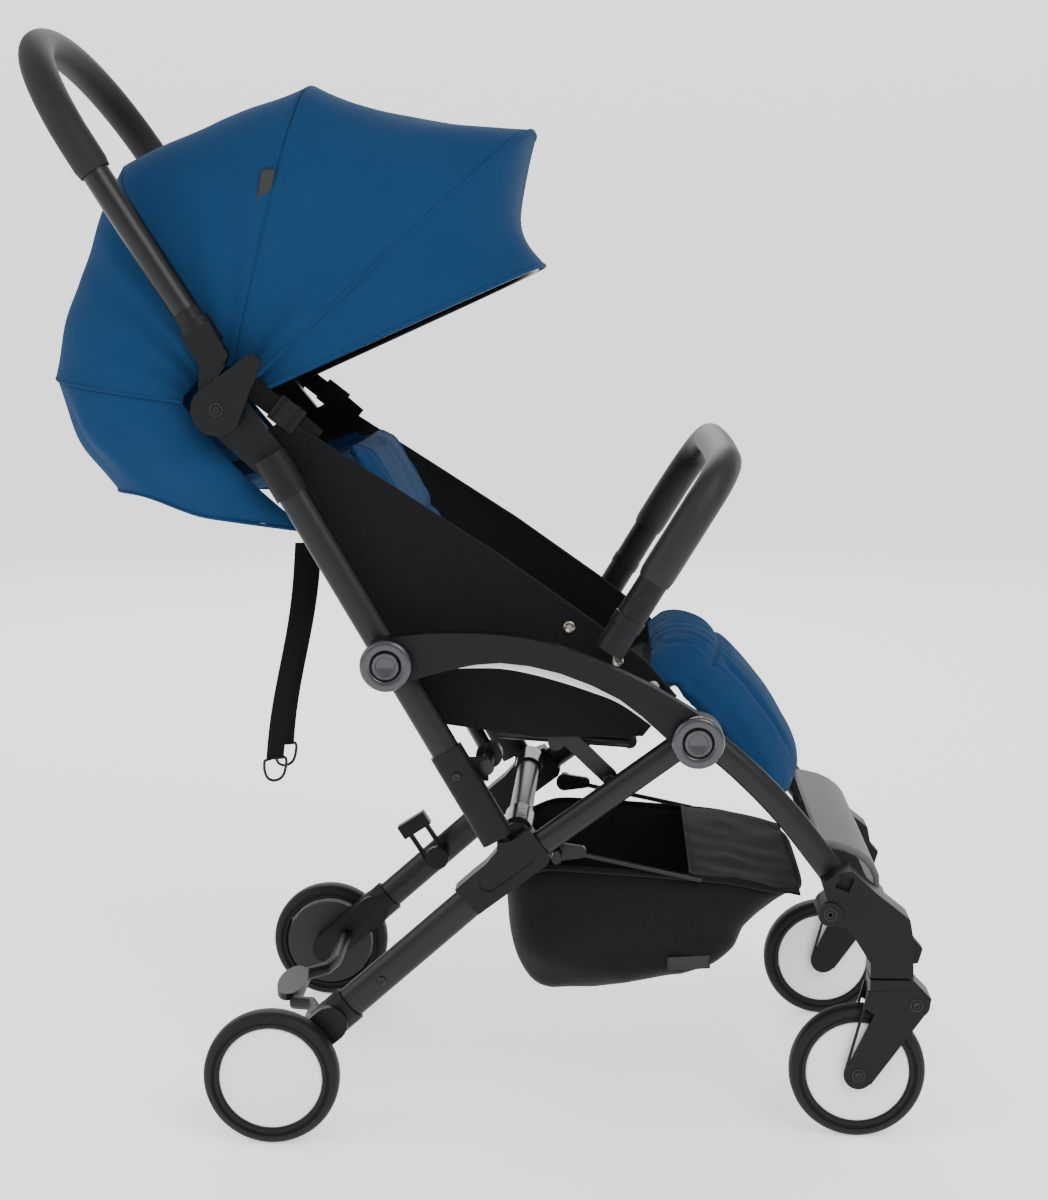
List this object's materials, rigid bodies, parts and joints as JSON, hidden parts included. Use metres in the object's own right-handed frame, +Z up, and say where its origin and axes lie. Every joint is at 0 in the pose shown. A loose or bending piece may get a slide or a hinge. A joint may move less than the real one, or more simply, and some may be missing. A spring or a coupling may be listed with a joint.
{
  "type": "baby stroller",
  "caption": "Folding single-seat baby stroller with reclining seat, arched folding canopy, bumper bar, loop push handle, storage basket and swivelling front wheels.",
  "frame": {"origin": "centre of the bounding box in plan, on the ground under the wheels", "axes": "+X forward (the way the child faces), +Y to the stroller's left, +Z up"},
  "size_m": [0.8764, 0.4552, 1.0555],
  "materials": {
    "paint": "satin black enamel",
    "plastic": "moulded, fine grain",
    "gloss": "polished gunmetal",
    "tyre": "smooth solid tread",
    "white": "smooth white moulding",
    "foam": "textured foam",
    "wrap": "stitched leather-look wrap",
    "blue": "blue melange weave",
    "black": "plain black weave",
    "mesh": "dark heathered weave",
    "grey": "soft grey moulding"
  },
  "bodies": {
    "rear_frame": {"rear_tube_r": "paint", "rear_tube_l": "paint", "connector_r": "plastic", "connector_l": "plastic", "crossbar": "gloss", "axle_housing_r": "plastic", "axle_housing_l": "plastic", "seat_frame": "paint", "seat_pad": "black", "basket_rod_r": "paint", "basket_rod_l": "paint", "basket": "mesh"},
    "brake": {"brake_bar": "paint"},
    "latch": {"fold_latch": "plastic"},
    "rear_wheel_r": {"rear_tyre_r": "tyre", "rear_rim_r": "white"},
    "rear_wheel_l": {"rear_tyre_l": "tyre", "rear_rim_l": "white"},
    "arms": {"armrest_r": "plastic", "armrest_l": "plastic"},
    "bumper": {"bumper_bar": "plastic", "bumper_grip": "wrap"},
    "bumper_button_r": {"bumper_button_r": "plastic"},
    "bumper_button_l": {"bumper_button_l": "plastic"},
    "front_button_r": {"front_button_r": "gloss"},
    "front_button_l": {"front_button_l": "gloss"},
    "rear_button_r": {"rear_button_r": "gloss"},
    "rear_button_l": {"rear_button_l": "gloss"},
    "push_frame": {"push_tube_r": "paint", "push_tube_l": "paint", "hinge_socket_r": "plastic", "hinge_socket_l": "plastic", "side_wing_r": "black", "side_wing_l": "black", "canopy_rear": "blue"},
    "backrest": {"back_frame": "paint", "back_pad": "blue"},
    "front_legs": {"front_tube_r": "paint", "front_tube_l": "paint", "front_bracket_r": "plastic", "front_bracket_l": "plastic", "footrest": "grey", "calf_pad": "blue"},
    "swivel_lock_r": {"swivel_lock_r": "plastic"},
    "swivel_lock_l": {"swivel_lock_l": "plastic"},
    "caster_r": {"caster_fork_r": "plastic"},
    "caster_l": {"caster_fork_l": "plastic"},
    "front_wheel_r": {"front_tyre_r": "tyre", "front_rim_r": "white"},
    "front_wheel_l": {"front_tyre_l": "tyre", "front_rim_l": "white"},
    "handle": {"handle_tube": "paint", "handle_grip": "foam"},
    "bow_back": {"canopy_back": "blue"},
    "bow_top": {"canopy_top": "blue"},
    "bow_front": {"canopy_arm_r": "plastic", "canopy_arm_l": "plastic"},
    "bow_visor": {"canopy_visor": "blue"},
    "straps": {"recline_strap_r": "black", "recline_strap_l": "black"}
  },
  "joints": [
    {"name": "frame_fold", "type": "hinge", "parent": "rear_frame", "child": "arms", "pos_m": [0.21419, 0, 0.3935], "axis": [0, -1, 0], "range_deg": [0, 33.5], "deforming": ["seat_pad", "calf_pad", "side_wing_r", "side_wing_l", "basket", "recline_strap_r", "recline_strap_l"]},
    {"name": "push_fold", "type": "hinge", "parent": "arms", "child": "push_frame", "pos_m": [-0.07251, 0, 0.4627], "axis": [0, 1, 0], "range_deg": [0, 119.5]},
    {"name": "leg_fold", "type": "hinge", "parent": "rear_frame", "child": "front_legs", "pos_m": [0.21419, 0, 0.3935], "axis": [0, 1, 0], "range_deg": [0, 60]},
    {"name": "strap_hang", "type": "hinge", "parent": "push_frame", "child": "straps", "pos_m": [-0.17381, 0, 0.553], "axis": [0, -1, 0], "range_deg": [0, 86]},
    {"name": "handle_fold", "type": "hinge", "parent": "push_frame", "child": "handle", "pos_m": [-0.22941, 0, 0.6944], "axis": [0, -1, 0], "range_deg": [0, 175]},
    {"name": "canopy_fold", "type": "hinge", "parent": "push_frame", "child": "bow_back", "pos_m": [-0.22941, 0, 0.6944], "axis": [0, -1, 0], "range_deg": [0, 15], "deforming": ["canopy_rear", "canopy_back", "canopy_top", "canopy_visor"]},
    {"name": "canopy_top_fold", "type": "hinge", "parent": "bow_back", "child": "bow_top", "pos_m": [-0.22941, 0, 0.6944], "axis": [0, -1, 0], "range_deg": [0, 30.5]},
    {"name": "canopy_front_fold", "type": "hinge", "parent": "bow_top", "child": "bow_front", "pos_m": [-0.22941, 0, 0.6944], "axis": [0, -1, 0], "range_deg": [0, 26]},
    {"name": "canopy_visor_fold", "type": "hinge", "parent": "bow_front", "child": "bow_visor", "pos_m": [-0.22941, 0, 0.6944], "axis": [0, -1, 0], "range_deg": [0, 9]},
    {"name": "recline", "type": "hinge", "parent": "push_frame", "child": "backrest", "pos_m": [0.01619, 0, 0.357], "axis": [0, -1, 0], "range_deg": [0, 30], "deforming": ["back_pad"]},
    {"name": "brake_pedal", "type": "hinge", "parent": "rear_frame", "child": "brake", "pos_m": [-0.16381, 0, 0.082], "axis": [0, -1, 0], "range_deg": [0, 22]},
    {"name": "latch_swing", "type": "hinge", "parent": "rear_frame", "child": "latch", "pos_m": [-0.05881, 0, 0.176], "axis": [0, 1, 0], "range_deg": [0, 55]},
    {"name": "rear_wheel_spin_r", "type": "hinge", "parent": "rear_frame", "child": "rear_wheel_r", "pos_m": [-0.18581, -0.212, 0.065], "axis": [0, 1, 0], "continuous": true},
    {"name": "caster_swivel_r", "type": "hinge", "parent": "front_legs", "child": "caster_r", "pos_m": [0.40119, -0.171, 0.16], "axis": [0, 0, 1], "continuous": true},
    {"name": "front_wheel_spin_r", "type": "hinge", "parent": "caster_r", "child": "front_wheel_r", "pos_m": [0.37119, -0.171, 0.065], "axis": [0, 1, 0], "continuous": true},
    {"name": "swivel_lock_press_r", "type": "slide", "parent": "front_legs", "child": "swivel_lock_r", "axis": [0, 0, -1], "range_m": [0, 0.004]},
    {"name": "front_button_press_r", "type": "slide", "parent": "arms", "child": "front_button_r", "axis": [0, 1, 0], "range_m": [0, 0.003], "stiffness_N_per_m": 500},
    {"name": "rear_button_press_r", "type": "slide", "parent": "arms", "child": "rear_button_r", "axis": [0, 1, 0], "range_m": [0, 0.003], "stiffness_N_per_m": 500},
    {"name": "bumper_button_press_r", "type": "slide", "parent": "bumper", "child": "bumper_button_r", "axis": [0, 1, 0], "range_m": [0, 0.002], "stiffness_N_per_m": 600},
    {"name": "rear_wheel_spin_l", "type": "hinge", "parent": "rear_frame", "child": "rear_wheel_l", "pos_m": [-0.18581, 0.212, 0.065], "axis": [0, 1, 0], "continuous": true},
    {"name": "caster_swivel_l", "type": "hinge", "parent": "front_legs", "child": "caster_l", "pos_m": [0.40119, 0.171, 0.16], "axis": [0, 0, 1], "continuous": true},
    {"name": "front_wheel_spin_l", "type": "hinge", "parent": "caster_l", "child": "front_wheel_l", "pos_m": [0.37119, 0.171, 0.065], "axis": [0, 1, 0], "continuous": true},
    {"name": "swivel_lock_press_l", "type": "slide", "parent": "front_legs", "child": "swivel_lock_l", "axis": [0, 0, -1], "range_m": [0, 0.004]},
    {"name": "front_button_press_l", "type": "slide", "parent": "arms", "child": "front_button_l", "axis": [0, -1, 0], "range_m": [0, 0.003], "stiffness_N_per_m": 500},
    {"name": "rear_button_press_l", "type": "slide", "parent": "arms", "child": "rear_button_l", "axis": [0, -1, 0], "range_m": [0, 0.003], "stiffness_N_per_m": 500},
    {"name": "bumper_button_press_l", "type": "slide", "parent": "bumper", "child": "bumper_button_l", "axis": [0, -1, 0], "range_m": [0, 0.002], "stiffness_N_per_m": 600},
    {"name": "bumper_lift", "type": "slide", "parent": "arms", "child": "bumper", "axis": [0.5, 0, 0.866], "range_m": [0, 0.11]}
  ],
  "couplings": [
    {"joint": "push_fold", "follows": "frame_fold", "ratio": 3.5672},
    {"joint": "leg_fold", "follows": "frame_fold", "ratio": 1.791},
    {"joint": "strap_hang", "follows": "frame_fold", "ratio": 2.5672},
    {"joint": "handle_fold", "follows": "frame_fold", "ratio": 5.2239},
    {"joint": "canopy_top_fold", "follows": "canopy_fold", "ratio": 2.0333},
    {"joint": "canopy_front_fold", "follows": "canopy_fold", "ratio": 1.7333},
    {"joint": "canopy_visor_fold", "follows": "canopy_fold", "ratio": 0.6}
  ]
}
